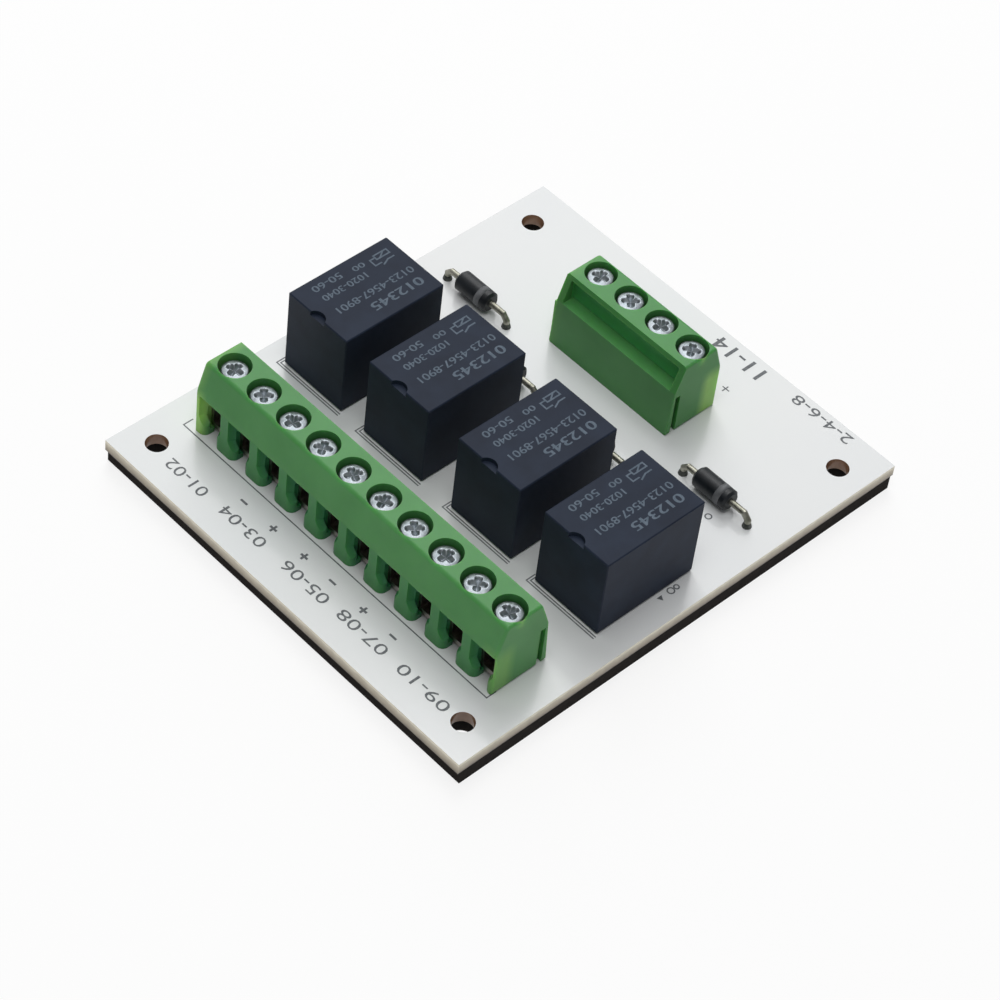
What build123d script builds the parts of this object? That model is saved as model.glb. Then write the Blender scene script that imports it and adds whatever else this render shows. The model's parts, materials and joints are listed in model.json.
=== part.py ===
import os

from build123d import *

os.makedirs("parts", exist_ok=True)

# Every length is in millimetres. X runs along the ten-pole terminal block, Y runs from that
# block towards the four-pole block, and Z is up. The origin is under the middle of the pad.
# Places on the board are measured from its front left corner, on its top face.

# Circuit board
BOARD_X = 60.0
BOARD_Y = 69.5
BOARD_THICK = 1.6
MOUNT_HOLE_D = 2.8
MOUNT_INSET_X = 4.0
MOUNT_INSET_FRONT = 4.3
MOUNT_INSET_REAR = 5.6

# Soft backing pad under the solder side
PAD_THICK = 2.0
PAD_INSET_Y = 0.4
PAD_HOLE_D = 3.4
POCKET_DEPTH = 1.35
POCKET_MARGIN = 0.4

# Solder joints on the underside
SOLDER_D = 1.9
SOLDER_HEIGHT = 1.1
SOLDER_SIDES = 8
SOLDER_CHAMFER = 0.6
HOLE_CLEARANCE = 0.12

# Screw terminal blocks, both moulded to one section
PITCH = 5.08
FRONT_POLES = 10
REAR_POLES = 4
FRONT_FIRST_X = 7.5
FRONT_FACE_Y = 9.1
REAR_FIRST_X = 22.5
REAR_FACE_Y = 59.6
BLOCK_HEIGHT = 10.4
BLOCK_DEPTH = 8.2
BREAK_HEIGHT = 6.6
BREAK_RADIUS = 3.0
FASCIA_SETBACK = 1.3
FASCIA_EDGE = 0.6
LEDGE_HEIGHT = 6.7
LEDGE_SETBACK = 0.45
BACK_SETBACK = 1.75
POLE_ROW = 3.5
RECESS_DEPTH = 0.5
RECESS_LIP = 0.6
RECESS_END_WALL = 0.9
END_EDGE = 0.35

# Dovetail that joins one block to the next, and how far each end is from its nearest screw
RIB_END = 2.54
GROOVE_END = 2.04
DOVETAIL_DEPTH = 0.5
DOVETAIL_NECK = 0.6
DOVETAIL_FLARE = 0.1
DOVETAIL_HEIGHT = 6.0
DOVETAIL_FROM_BACK = 1.1
DOVETAIL_CLEARANCE = 0.1

# Wire entry: a scallop that widens upwards, a throat behind it and a slot over the board
SCALLOP_AXIS_Y = -0.2
SCALLOP_FOOT_R = 0.7
SCALLOP_FOOT_Z = 0.5
SCALLOP_R = 1.9
SCALLOP_WAIST = 2.8
SCALLOP_ROOF = 6.1
THROAT_WIDTH = 3.0
THROAT_FRONT_Y = 0.9
THROAT_FLOOR = 0.8
THROAT_ROOF = 4.2
FOOT_SLOT_WIDTH = 1.7
FOOT_SLOT_HEIGHT = 2.6
FOOT_RADIUS = 0.9

# Terminal screw
WELL_D = 4.0
HEAD_D = 3.3
HEAD_HEIGHT = 1.8
HEAD_SUNK = 0.4
SHANK_D = 2.2
SHANK_CLEARANCE = 0.1
TIP_GAP = 0.05
CROSS_LENGTH = 2.3
CROSS_WIDTH = 0.7
CROSS_DEPTH = 0.9
CROSS_TURN = 37.0

# Rising wire clamp, a closed ring round the contact strip
CLAMP_WIDTH = 3.2
CLAMP_DEPTH = 3.6
CLAMP_SIDE = 0.4
CLAMP_FLOOR = 0.7
CLAMP_TOP = 1.2
CLAMP_BOTTOM_Z = 0.45
CLAMP_TOP_Z = 5.5
CLAMP_TRAVEL = 1.8
CLAMP_CORNER = 0.45
POCKET_GAP = 0.12

# Contact strip, bent down behind the clamp into the solder pin
STRIP_WIDTH = 2.1
STRIP_THICK = 0.6
STRIP_BEND = 0.5
STRIP_TOP_Z = 3.7
STRIP_FRONT_Y = 2.4
STRIP_LEG_GAP = 0.2
PIN_WIDTH = 0.9

# Relay case, its foot and its place on the board
RELAY_X = 10.1
RELAY_Y = 15.1
RELAY_TOP = 11.7
RELAY_WALL = 0.8
RELAY_STANDOFF = 0.3
RELAY_EDGE = 0.12
RELAY_CENTRES_X = (8.37, 22.34, 37.34, 51.32)
RELAY_CENTRE_Y = 31.65
NOTCH_RADIUS = 1.25
NOTCH_FORWARD = 0.35
NOTCH_DEPTH = 0.6
BASE_THICK = 1.2
BASE_GAP = 0.05
FOOT_SIDE = 1.1
FOOT_INSET = 2.4
PIN_SLOT_GAP = 0.08

# Relay coil, yoke and core
YOKE_THICK = 1.0
YOKE_WIDTH = 7.0
YOKE_PIN_THICK = 0.6
YOKE_TOP_Z = 9.1
YOKE_BACK_GAP = 0.5
CORE_D = 3.0
CORE_Y = 1.6
POLE_D = 4.6
POLE_THICK = 0.6
POLE_GAP = 0.45
FLANGE_X = 7.4
FLANGE_Y = 6.6
FLANGE_THICK = 0.6
BOBBIN_WALL = 0.4
WINDING_D = 6.2
COIL_CLEARANCE = 0.05

# Relay armature with the moving contact, hinged on the yoke's upper edge
ARMATURE_THICK = 0.8
ARMATURE_WIDTH = 6.0
ARMATURE_FRONT_Y = -1.2
ARMATURE_GAP = 0.05
SPRING_THICK = 0.2
SPRING_WIDTH = 2.6
SPRING_BACK_Y = 4.0
SPRING_FRONT_Y = -5.9
CONTACT_D = 1.5
CONTACT_Y = -5.0
CONTACT_BUTTON = 0.35
CONTACT_GAP = 0.7

# Relay terminals
TERMINAL_THICK = 0.4
TERMINAL_PIN_WIDTH = 0.8
TERMINAL_Y = -6.2
REST_TERMINAL_X = 2.9
REST_GAP = 0.04
COIL_POST = 0.6
COIL_POST_X = 3.0
COIL_POST_Y = -2.8
COIL_POST_TOP = 4.0

# Diodes
DIODE_CENTRES = ((9.9, 48.95), (21.0, 43.3), (36.0, 43.3), (50.4, 48.95))
DIODE_D = 2.7
DIODE_LENGTH = 5.3
DIODE_OFFSET = -0.3
DIODE_AXIS_Z = 1.65
DIODE_EDGE = 0.3
LEAD_D = 0.8
LEAD_SPAN = 10.4
LEAD_BEND = 0.7

# Values that follow from the driving sizes
BOARD_TOP = PAD_THICK + BOARD_THICK
TOP_FRONT_Y = FASCIA_SETBACK
TOP_BACK_Y = BLOCK_DEPTH - BACK_SETBACK
HEAD_SEAT_Z = BLOCK_HEIGHT - HEAD_SUNK - HEAD_HEIGHT
CLAMP_FRONT_Y = POLE_ROW - CLAMP_DEPTH / 2
CLAMP_BACK_Y = POLE_ROW + CLAMP_DEPTH / 2
POCKET_FRONT_Y = CLAMP_FRONT_Y - POCKET_GAP
POCKET_ROOF_Z = CLAMP_TOP_Z + CLAMP_TRAVEL + POCKET_GAP
LEG_FRONT_Y = CLAMP_BACK_Y + STRIP_LEG_GAP
LEG_Y = LEG_FRONT_Y + STRIP_THICK / 2
YOKE_BACK_Y = RELAY_Y / 2 - RELAY_WALL - YOKE_BACK_GAP
PIVOT_Y = YOKE_BACK_Y - YOKE_THICK
BASE_TOP_Z = RELAY_STANDOFF + BASE_THICK
YOKE_FLOOR_Z = BASE_TOP_Z + YOKE_THICK
ARMATURE_Z = YOKE_TOP_Z + ARMATURE_GAP
POLE_TOP_Z = ARMATURE_Z - POLE_GAP
SPRING_Z = ARMATURE_Z + ARMATURE_THICK


def on_board(x, y):
    """Place on the board's top face, given from the board's front left corner."""
    return Location((x - BOARD_X / 2, y - BOARD_Y / 2, BOARD_TOP))


FRONT_BLOCK = on_board(FRONT_FIRST_X, FRONT_FACE_Y)
REAR_BLOCK = on_board(REAR_FIRST_X + (REAR_POLES - 1) * PITCH, REAR_FACE_Y) * Location((0, 0, 0), (0, 0, 180))
RELAYS = [on_board(x, RELAY_CENTRE_Y) for x in RELAY_CENTRES_X]
DIODES = [on_board(x, y) for x, y in DIODE_CENTRES]


def pole_places(poles, y=0.0, z=0.0):
    """One place for each pole of a block, the first at x = 0."""
    return [Location((pole * PITCH, y, z)) for pole in range(poles)]


def save(name, part):
    """Label one finished piece and write it to its own file."""
    part.label = name
    export_step(part, f"parts/{name}.step")


def wire_entry():
    """Space of one wire entry, open to the front and down to the board."""
    slot = FOOT_SLOT_WIDTH / 2
    with BuildPart() as entry:
        # Scallop, turned about an upright axis just in front of the block
        with BuildSketch(Plane.XZ.offset(-SCALLOP_AXIS_Y)):
            with BuildLine():
                Polyline(
                    (0, SCALLOP_FOOT_Z),
                    (SCALLOP_FOOT_R, SCALLOP_FOOT_Z),
                    (SCALLOP_R, SCALLOP_WAIST),
                    (SCALLOP_R, SCALLOP_ROOF),
                    (0, SCALLOP_ROOF),
                    close=True,
                )
            make_face()
        revolve(axis=Axis((0, SCALLOP_AXIS_Y, 0), (0, 0, 1)))
        # Throat from the scallop to the clamp's pocket
        with BuildSketch(Plane.XY.offset(THROAT_FLOOR)):
            with Locations((0, (THROAT_FRONT_Y + POCKET_FRONT_Y) / 2)):
                Rectangle(THROAT_WIDTH, POCKET_FRONT_Y - THROAT_FRONT_Y)
        extrude(amount=THROAT_ROOF - THROAT_FLOOR)
        # Slot over the board, its mouth flared by the rounded feet on both sides
        with BuildSketch(Plane.XY):
            with BuildLine():
                Line((-slot - FOOT_RADIUS, 0), (slot + FOOT_RADIUS, 0))
                RadiusArc((slot + FOOT_RADIUS, 0), (slot, FOOT_RADIUS), FOOT_RADIUS)
                Line((slot, FOOT_RADIUS), (slot, POCKET_FRONT_Y))
                Line((slot, POCKET_FRONT_Y), (-slot, POCKET_FRONT_Y))
                Line((-slot, POCKET_FRONT_Y), (-slot, FOOT_RADIUS))
                RadiusArc((-slot, FOOT_RADIUS), (-slot - FOOT_RADIUS, 0), FOOT_RADIUS)
            make_face()
        extrude(amount=FOOT_SLOT_HEIGHT)
    return entry.part


def dovetail_section(clearance):
    """Dovetail seen from above, its root on x = 0 and its wide edge towards +X."""
    with BuildSketch(Plane.XY) as section:
        with BuildLine():
            Polyline(
                (0, -DOVETAIL_NECK / 2 - clearance),
                (DOVETAIL_DEPTH + clearance, -DOVETAIL_NECK / 2 - DOVETAIL_FLARE - clearance),
                (DOVETAIL_DEPTH + clearance, DOVETAIL_NECK / 2 + DOVETAIL_FLARE + clearance),
                (0, DOVETAIL_NECK / 2 + clearance),
                close=True,
            )
        make_face()
    return section.sketch


def terminal_housing(poles, groove_side):
    """Moulded housing with its wire entries facing -Y and its groove on the groove_side of X."""
    rib_end = -RIB_END
    groove_end = (poles - 1) * PITCH + GROOVE_END
    if groove_side < 0:
        rib_end, groove_end = (poles - 1) * PITCH + RIB_END, -GROOVE_END
    left, right = sorted((rib_end, groove_end))
    dovetail_y = BLOCK_DEPTH - DOVETAIL_FROM_BACK
    dovetail_turn = (0, 0, 180 if groove_side > 0 else 0)
    slot_back_y = LEG_FRONT_Y + STRIP_THICK + POCKET_GAP
    entry = wire_entry()
    rib = dovetail_section(0.0)
    groove = dovetail_section(DOVETAIL_CLEARANCE)
    with BuildPart() as moulding:
        with BuildSketch(Plane.YZ.offset(left)) as end:
            with BuildLine():
                Polyline(
                    (0, 0),
                    (BLOCK_DEPTH, 0),
                    (BLOCK_DEPTH - LEDGE_SETBACK, LEDGE_HEIGHT),
                    (TOP_BACK_Y, BLOCK_HEIGHT),
                    (TOP_FRONT_Y, BLOCK_HEIGHT),
                    (0, BREAK_HEIGHT),
                    close=True,
                )
            make_face()
            fillet(end.vertices().sort_by(Axis.X)[:2].sort_by(Axis.Y)[-1], BREAK_RADIUS)
            fillet(end.vertices().group_by(Axis.Y)[-1].sort_by(Axis.X)[0], FASCIA_EDGE)
        extrude(amount=right - left)
        ends = moulding.faces().filter_by(Axis.X).edges()
        fillet([edge for edge in ends if edge.center().Y < TOP_BACK_Y and edge.center().Z > 0], END_EDGE)
        # Recess along the upper back, between the end walls and under the top lip
        with BuildSketch(Plane.XZ.offset(-BLOCK_DEPTH)):
            with Locations(((left + right) / 2, (LEDGE_HEIGHT + BLOCK_HEIGHT - RECESS_LIP) / 2)):
                Rectangle(right - left - 2 * RECESS_END_WALL, BLOCK_HEIGHT - RECESS_LIP - LEDGE_HEIGHT)
        extrude(amount=BACK_SETBACK + RECESS_DEPTH, mode=Mode.SUBTRACT)
        # Pockets for the clamps, and behind them a slot for each contact strip
        with BuildSketch(Plane.XY):
            with Locations(*pole_places(poles, POLE_ROW)):
                Rectangle(CLAMP_WIDTH + 2 * POCKET_GAP, CLAMP_DEPTH + 2 * POCKET_GAP)
        extrude(amount=POCKET_ROOF_Z, mode=Mode.SUBTRACT)
        with BuildSketch(Plane.XY):
            with Locations(*pole_places(poles, (POLE_ROW + slot_back_y) / 2)):
                Rectangle(STRIP_WIDTH + 2 * POCKET_GAP, slot_back_y - POLE_ROW)
        extrude(amount=STRIP_TOP_Z + POCKET_GAP, mode=Mode.SUBTRACT)
        with Locations(*pole_places(poles)):
            add(entry, mode=Mode.SUBTRACT)
        with Locations(*pole_places(poles, POLE_ROW, BLOCK_HEIGHT)):
            CounterBoreHole(
                radius=SHANK_D / 2 + SHANK_CLEARANCE,
                counter_bore_radius=WELL_D / 2,
                counter_bore_depth=BLOCK_HEIGHT - HEAD_SEAT_Z,
                depth=BLOCK_HEIGHT - POCKET_ROOF_Z + POCKET_GAP,
            )
        with BuildSketch(Plane.XY):
            with Locations(Location((rib_end, dovetail_y, 0), dovetail_turn)):
                add(rib)
        extrude(amount=DOVETAIL_HEIGHT)
        with BuildSketch(Plane.XY):
            with Locations(Location((groove_end, dovetail_y, 0), dovetail_turn)):
                add(groove)
        extrude(amount=DOVETAIL_HEIGHT, mode=Mode.SUBTRACT)
    return moulding.part


def terminal_screw():
    """Cross-head screw, its axis on the pole and its heights measured from the board."""
    head_top_z = BLOCK_HEIGHT - HEAD_SUNK
    tip_z = STRIP_TOP_Z + TIP_GAP
    with BuildPart() as screw:
        with BuildSketch(Plane.XY.offset(HEAD_SEAT_Z)):
            Circle(HEAD_D / 2)
        extrude(amount=HEAD_HEIGHT)
        with BuildSketch(Plane.XY.offset(tip_z)):
            Circle(SHANK_D / 2)
        extrude(amount=HEAD_SEAT_Z - tip_z)
        with BuildSketch(Plane.XY.offset(head_top_z)):
            Rectangle(CROSS_LENGTH, CROSS_WIDTH)
            Rectangle(CROSS_WIDTH, CROSS_LENGTH)
        extrude(amount=-CROSS_DEPTH, mode=Mode.SUBTRACT)
    return screw.part


def wire_clamp():
    """Closed metal ring with a threaded top, drawn up by the screw."""
    height = CLAMP_TOP_Z - CLAMP_BOTTOM_Z
    window_bottom = CLAMP_BOTTOM_Z + CLAMP_FLOOR
    window_top = CLAMP_TOP_Z - CLAMP_TOP
    with BuildPart() as clamp:
        with BuildSketch(Plane.XZ.offset(-CLAMP_DEPTH / 2)) as ring:
            with Locations((0, CLAMP_BOTTOM_Z + height / 2)):
                Rectangle(CLAMP_WIDTH, height)
            chamfer(ring.vertices(), CLAMP_CORNER)
            with Locations((0, (window_bottom + window_top) / 2)):
                Rectangle(CLAMP_WIDTH - 2 * CLAMP_SIDE, window_top - window_bottom, mode=Mode.SUBTRACT)
        extrude(amount=CLAMP_DEPTH)
        with Locations((0, 0, CLAMP_TOP_Z)):
            Hole(SHANK_D / 2 + SHANK_CLEARANCE, depth=CLAMP_TOP)
    return clamp.part


def contact_strip():
    """Bent strip under the screw's tip, narrowed to a solder pin through the board."""
    front = STRIP_FRONT_Y - POLE_ROW
    leg_front = LEG_FRONT_Y - POLE_ROW
    leg_back = leg_front + STRIP_THICK
    with BuildPart() as strip:
        with BuildSketch(Plane.YZ.offset(-STRIP_WIDTH / 2)) as bend:
            with BuildLine():
                Polyline(
                    (front, STRIP_TOP_Z),
                    (leg_back, STRIP_TOP_Z),
                    (leg_back, 0),
                    (leg_front, 0),
                    (leg_front, STRIP_TOP_Z - STRIP_THICK),
                    (front, STRIP_TOP_Z - STRIP_THICK),
                    close=True,
                )
            make_face()
            fillet(bend.vertices().group_by(Axis.Y)[-1].sort_by(Axis.X)[-1], STRIP_BEND)
        extrude(amount=STRIP_WIDTH)
        with BuildSketch(Plane.XY):
            with Locations((0, LEG_Y - POLE_ROW)):
                Rectangle(PIN_WIDTH, STRIP_THICK)
        extrude(amount=-BOARD_THICK)
    return strip.part


def relay_cover():
    """Moulded case, open below, with a half-round notch in its front upper edge."""
    with BuildPart() as cover:
        with BuildSketch(Plane.XY.offset(RELAY_STANDOFF)):
            Rectangle(RELAY_X, RELAY_Y)
        extrude(amount=RELAY_TOP - RELAY_STANDOFF)
        chamfer(cover.edges().filter_by(Axis.Z), RELAY_EDGE)
        chamfer(cover.faces().sort_by(Axis.Z)[-1].edges(), RELAY_EDGE)
        with BuildSketch(Plane.XY.offset(RELAY_STANDOFF)):
            Rectangle(RELAY_X - 2 * RELAY_WALL, RELAY_Y - 2 * RELAY_WALL)
        extrude(amount=RELAY_TOP - RELAY_STANDOFF - RELAY_WALL, mode=Mode.SUBTRACT)
        with BuildSketch(Plane.XY.offset(RELAY_TOP)):
            with Locations((0, -RELAY_Y / 2 - NOTCH_FORWARD)):
                Circle(NOTCH_RADIUS)
        extrude(amount=-NOTCH_DEPTH, mode=Mode.SUBTRACT)
    return cover.part


def relay_base():
    """Plate that closes the case, on four small feet, slotted for the pins."""
    inner_x = RELAY_X - 2 * RELAY_WALL - 2 * BASE_GAP
    inner_y = RELAY_Y - 2 * RELAY_WALL - 2 * BASE_GAP
    slot_gap = 2 * PIN_SLOT_GAP
    with BuildPart() as base:
        with BuildSketch(Plane.XY.offset(RELAY_STANDOFF)):
            Rectangle(inner_x, inner_y)
        extrude(amount=BASE_THICK)
        with BuildSketch(Plane.XY):
            with GridLocations(inner_x - 2 * FOOT_INSET, inner_y - 2 * FOOT_INSET, 2, 2):
                Rectangle(FOOT_SIDE, FOOT_SIDE)
        extrude(amount=RELAY_STANDOFF)
        with BuildSketch(Plane.XY.offset(RELAY_STANDOFF)):
            with Locations((0, TERMINAL_Y), (REST_TERMINAL_X, TERMINAL_Y)):
                Rectangle(TERMINAL_PIN_WIDTH + slot_gap, TERMINAL_THICK + slot_gap)
            with Locations((-COIL_POST_X, COIL_POST_Y), (COIL_POST_X, COIL_POST_Y)):
                Rectangle(COIL_POST + slot_gap, COIL_POST + slot_gap)
            with Locations((0, YOKE_BACK_Y - YOKE_THICK / 2)):
                Rectangle(TERMINAL_PIN_WIDTH + slot_gap, YOKE_PIN_THICK + slot_gap)
        extrude(amount=BASE_THICK, mode=Mode.SUBTRACT)
    return base.part


def relay_yoke():
    """Bent iron yoke with the coil's core, its pole face and the common pin."""
    width = YOKE_WIDTH
    floor_front = CORE_Y - POLE_D / 2
    with BuildPart() as yoke:
        with BuildSketch(Plane.YZ.offset(-width / 2)):
            with BuildLine():
                Polyline(
                    (floor_front, BASE_TOP_Z),
                    (YOKE_BACK_Y, BASE_TOP_Z),
                    (YOKE_BACK_Y, YOKE_TOP_Z),
                    (PIVOT_Y, YOKE_TOP_Z),
                    (PIVOT_Y, YOKE_FLOOR_Z),
                    (floor_front, YOKE_FLOOR_Z),
                    close=True,
                )
            make_face()
        extrude(amount=width)
        with BuildSketch(Plane.XY.offset(YOKE_FLOOR_Z)):
            with Locations((0, CORE_Y)):
                Circle(CORE_D / 2)
        extrude(amount=POLE_TOP_Z - YOKE_FLOOR_Z)
        with BuildSketch(Plane.XY.offset(POLE_TOP_Z)):
            with Locations((0, CORE_Y)):
                Circle(POLE_D / 2)
        extrude(amount=-POLE_THICK)
        with BuildSketch(Plane.XY.offset(BASE_TOP_Z)):
            with Locations((0, YOKE_BACK_Y - YOKE_THICK / 2)):
                Rectangle(TERMINAL_PIN_WIDTH, YOKE_PIN_THICK)
        extrude(amount=-BASE_TOP_Z - BOARD_THICK)
    return yoke.part


def relay_bobbin():
    """Moulded bobbin round the core, under the pole face."""
    top = POLE_TOP_Z - POLE_THICK - COIL_CLEARANCE
    tube_radius = CORE_D / 2 + COIL_CLEARANCE + BOBBIN_WALL
    with BuildPart() as bobbin:
        with BuildSketch(Plane.XY.offset(YOKE_FLOOR_Z)):
            with Locations((0, CORE_Y)):
                Circle(tube_radius)
        extrude(amount=top - YOKE_FLOOR_Z)
        for flange_z in (YOKE_FLOOR_Z, top - FLANGE_THICK):
            with BuildSketch(Plane.XY.offset(flange_z)):
                with Locations((0, CORE_Y)):
                    Rectangle(FLANGE_X, FLANGE_Y)
            extrude(amount=FLANGE_THICK)
        with Locations((0, CORE_Y, top)):
            Hole(CORE_D / 2 + COIL_CLEARANCE)
    return bobbin.part


def relay_winding():
    """Enamelled wire wound on the bobbin, as one ring."""
    bottom = YOKE_FLOOR_Z + FLANGE_THICK + COIL_CLEARANCE
    top = POLE_TOP_Z - POLE_THICK - FLANGE_THICK - 2 * COIL_CLEARANCE
    with BuildPart() as winding:
        with BuildSketch(Plane.XY.offset(bottom)):
            with Locations((0, CORE_Y)):
                Circle(WINDING_D / 2)
                Circle(CORE_D / 2 + BOBBIN_WALL + 2 * COIL_CLEARANCE, mode=Mode.SUBTRACT)
        extrude(amount=top - bottom)
    return winding.part


def relay_armature():
    """Iron armature with the contact spring and the moving contact on it."""
    with BuildPart() as armature:
        with BuildSketch(Plane.XY.offset(ARMATURE_Z)):
            with Locations((0, (ARMATURE_FRONT_Y + YOKE_BACK_Y) / 2)):
                Rectangle(ARMATURE_WIDTH, YOKE_BACK_Y - ARMATURE_FRONT_Y)
        extrude(amount=ARMATURE_THICK)
        with BuildSketch(Plane.XY.offset(SPRING_Z)):
            with Locations((0, (SPRING_FRONT_Y + SPRING_BACK_Y) / 2)):
                Rectangle(SPRING_WIDTH, SPRING_BACK_Y - SPRING_FRONT_Y)
        extrude(amount=SPRING_THICK)
        with BuildSketch(Plane.XY.offset(SPRING_Z - CONTACT_BUTTON)):
            with Locations((0, CONTACT_Y)):
                Circle(CONTACT_D / 2)
        extrude(amount=SPRING_THICK + 2 * CONTACT_BUTTON)
    return armature.part


def relay_terminals():
    """Working contact, rest contact and the two coil posts, four separate solids."""
    front = TERMINAL_Y - TERMINAL_THICK / 2
    tab_back = CONTACT_Y + CONTACT_D / 2
    work_top = SPRING_Z - CONTACT_BUTTON - CONTACT_GAP
    rest_bottom = SPRING_Z + SPRING_THICK + CONTACT_BUTTON + REST_GAP
    rest_right = REST_TERMINAL_X + TERMINAL_PIN_WIDTH / 2
    with BuildPart() as terminals:
        # Working contact: a post in front, a tab over it and a round contact on the tab
        with BuildSketch(Plane.XY.offset(-BOARD_THICK)):
            with Locations((0, TERMINAL_Y)):
                Rectangle(TERMINAL_PIN_WIDTH, TERMINAL_THICK)
        extrude(amount=work_top - CONTACT_BUTTON + BOARD_THICK)
        with BuildSketch(Plane.XY.offset(work_top - CONTACT_BUTTON)):
            with Locations((0, (front + tab_back) / 2)):
                Rectangle(CONTACT_D, tab_back - front)
        extrude(amount=-TERMINAL_THICK)
        with BuildSketch(Plane.XY.offset(work_top - CONTACT_BUTTON)):
            with Locations((0, CONTACT_Y)):
                Circle(CONTACT_D / 2)
        extrude(amount=CONTACT_BUTTON)
        # Rest contact: a post beside the spring and a tab that reaches over the contact
        with BuildSketch(Plane.XY.offset(-BOARD_THICK)):
            with Locations((REST_TERMINAL_X, TERMINAL_Y)):
                Rectangle(TERMINAL_PIN_WIDTH, TERMINAL_THICK)
        extrude(amount=rest_bottom + BOARD_THICK)
        with BuildSketch(Plane.XY.offset(rest_bottom)):
            with Locations(((rest_right - CONTACT_D / 2) / 2, (front + tab_back) / 2)):
                Rectangle(rest_right + CONTACT_D / 2, tab_back - front)
        extrude(amount=SPRING_THICK)
        with BuildSketch(Plane.XY.offset(-BOARD_THICK)):
            with Locations((-COIL_POST_X, COIL_POST_Y), (COIL_POST_X, COIL_POST_Y)):
                Rectangle(COIL_POST, COIL_POST)
        extrude(amount=COIL_POST_TOP + BOARD_THICK)
    return terminals.part


def diode_body():
    """Round moulded body of an axial diode, lying along X."""
    with BuildPart() as body:
        with BuildSketch(Plane.YZ.offset(DIODE_OFFSET - DIODE_LENGTH / 2)):
            with Locations((0, DIODE_AXIS_Z)):
                Circle(DIODE_D / 2)
        extrude(amount=DIODE_LENGTH)
        chamfer(body.edges().filter_by(GeomType.CIRCLE), DIODE_EDGE)
    return body.part


def diode_leads():
    """Two tinned leads, each bent down from the body into the board."""
    foot_x = LEAD_SPAN / 2
    with BuildPart() as leads:
        for side in (-1, 1):
            with BuildLine() as route:
                Polyline(
                    (DIODE_OFFSET + side * DIODE_LENGTH / 2, 0, DIODE_AXIS_Z),
                    (side * (foot_x - LEAD_BEND), 0, DIODE_AXIS_Z),
                    (side * foot_x, 0, DIODE_AXIS_Z - LEAD_BEND),
                    (side * foot_x, 0, -BOARD_THICK),
                )
            with BuildSketch(Plane(origin=route.line @ 0, z_dir=route.line % 0)):
                Circle(LEAD_D / 2)
            sweep(path=route.line, transition=Transition.RIGHT)
    return leads.part


def pins_through_board():
    """Every pin through the board by family: its centre, its width and its thickness."""
    relay_pins = (
        (0, TERMINAL_Y, TERMINAL_PIN_WIDTH, TERMINAL_THICK),
        (REST_TERMINAL_X, TERMINAL_Y, TERMINAL_PIN_WIDTH, TERMINAL_THICK),
        (-COIL_POST_X, COIL_POST_Y, COIL_POST, COIL_POST),
        (COIL_POST_X, COIL_POST_Y, COIL_POST, COIL_POST),
        (0, YOKE_BACK_Y - YOKE_THICK / 2, TERMINAL_PIN_WIDTH, YOKE_PIN_THICK),
    )
    pins = {"terminal": [], "relay": [], "diode": []}
    for block, poles in ((FRONT_BLOCK, FRONT_POLES), (REAR_BLOCK, REAR_POLES)):
        for place in pole_places(poles, LEG_Y):
            pins["terminal"].append(((block * place).position, PIN_WIDTH, STRIP_THICK))
    for relay in RELAYS:
        for x, y, width, thick in relay_pins:
            pins["relay"].append(((relay * Location((x, y, 0))).position, width, thick))
    for diode in DIODES:
        for x in (-LEAD_SPAN / 2, LEAD_SPAN / 2):
            pins["diode"].append(((diode * Location((x, 0, 0))).position, LEAD_D, LEAD_D))
    return pins


def mounting_places():
    """Centres of the four mounting holes, seen from above."""
    rear_y = BOARD_Y - MOUNT_INSET_REAR
    right_x = BOARD_X - MOUNT_INSET_X
    corners = (
        (MOUNT_INSET_X, MOUNT_INSET_FRONT),
        (right_x, MOUNT_INSET_FRONT),
        (MOUNT_INSET_X, rear_y),
        (right_x, rear_y),
    )
    return [(x - BOARD_X / 2, y - BOARD_Y / 2) for x, y in corners]


def placed(part, places):
    """One group of equal pieces, a copy at each place."""
    with BuildPart() as group:
        with Locations(*places):
            add(part)
    return group.part


PINS = pins_through_board()

# Circuit board with its mounting holes and a close hole for every pin
with BuildPart() as circuit_board:
    with BuildSketch(Plane.XY.offset(PAD_THICK)):
        Rectangle(BOARD_X, BOARD_Y)
        with Locations(*mounting_places()):
            Circle(MOUNT_HOLE_D / 2, mode=Mode.SUBTRACT)
        for centre, width, thick in PINS["terminal"] + PINS["relay"]:
            with Locations((centre.X, centre.Y)):
                Rectangle(width + 2 * HOLE_CLEARANCE, thick + 2 * HOLE_CLEARANCE, mode=Mode.SUBTRACT)
        for centre, width, thick in PINS["diode"]:
            with Locations((centre.X, centre.Y)):
                Circle(width / 2 + HOLE_CLEARANCE, mode=Mode.SUBTRACT)
    extrude(amount=BOARD_THICK)
save("circuit_board", circuit_board.part)

# Backing pad, recessed over the solder joints
with BuildPart() as backing_pad:
    with BuildSketch(Plane.XY):
        Rectangle(BOARD_X, BOARD_Y - 2 * PAD_INSET_Y)
        with Locations(*mounting_places()):
            Circle(PAD_HOLE_D / 2, mode=Mode.SUBTRACT)
    extrude(amount=PAD_THICK)
    with BuildSketch(Plane.XY.offset(PAD_THICK)):
        for family in PINS.values():
            for centre, width, thick in family:
                with Locations((centre.X, centre.Y)):
                    Rectangle(SOLDER_D + 2 * POCKET_MARGIN, SOLDER_D + 2 * POCKET_MARGIN)
    extrude(amount=-POCKET_DEPTH, mode=Mode.SUBTRACT)
save("backing_pad", backing_pad.part)

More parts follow.
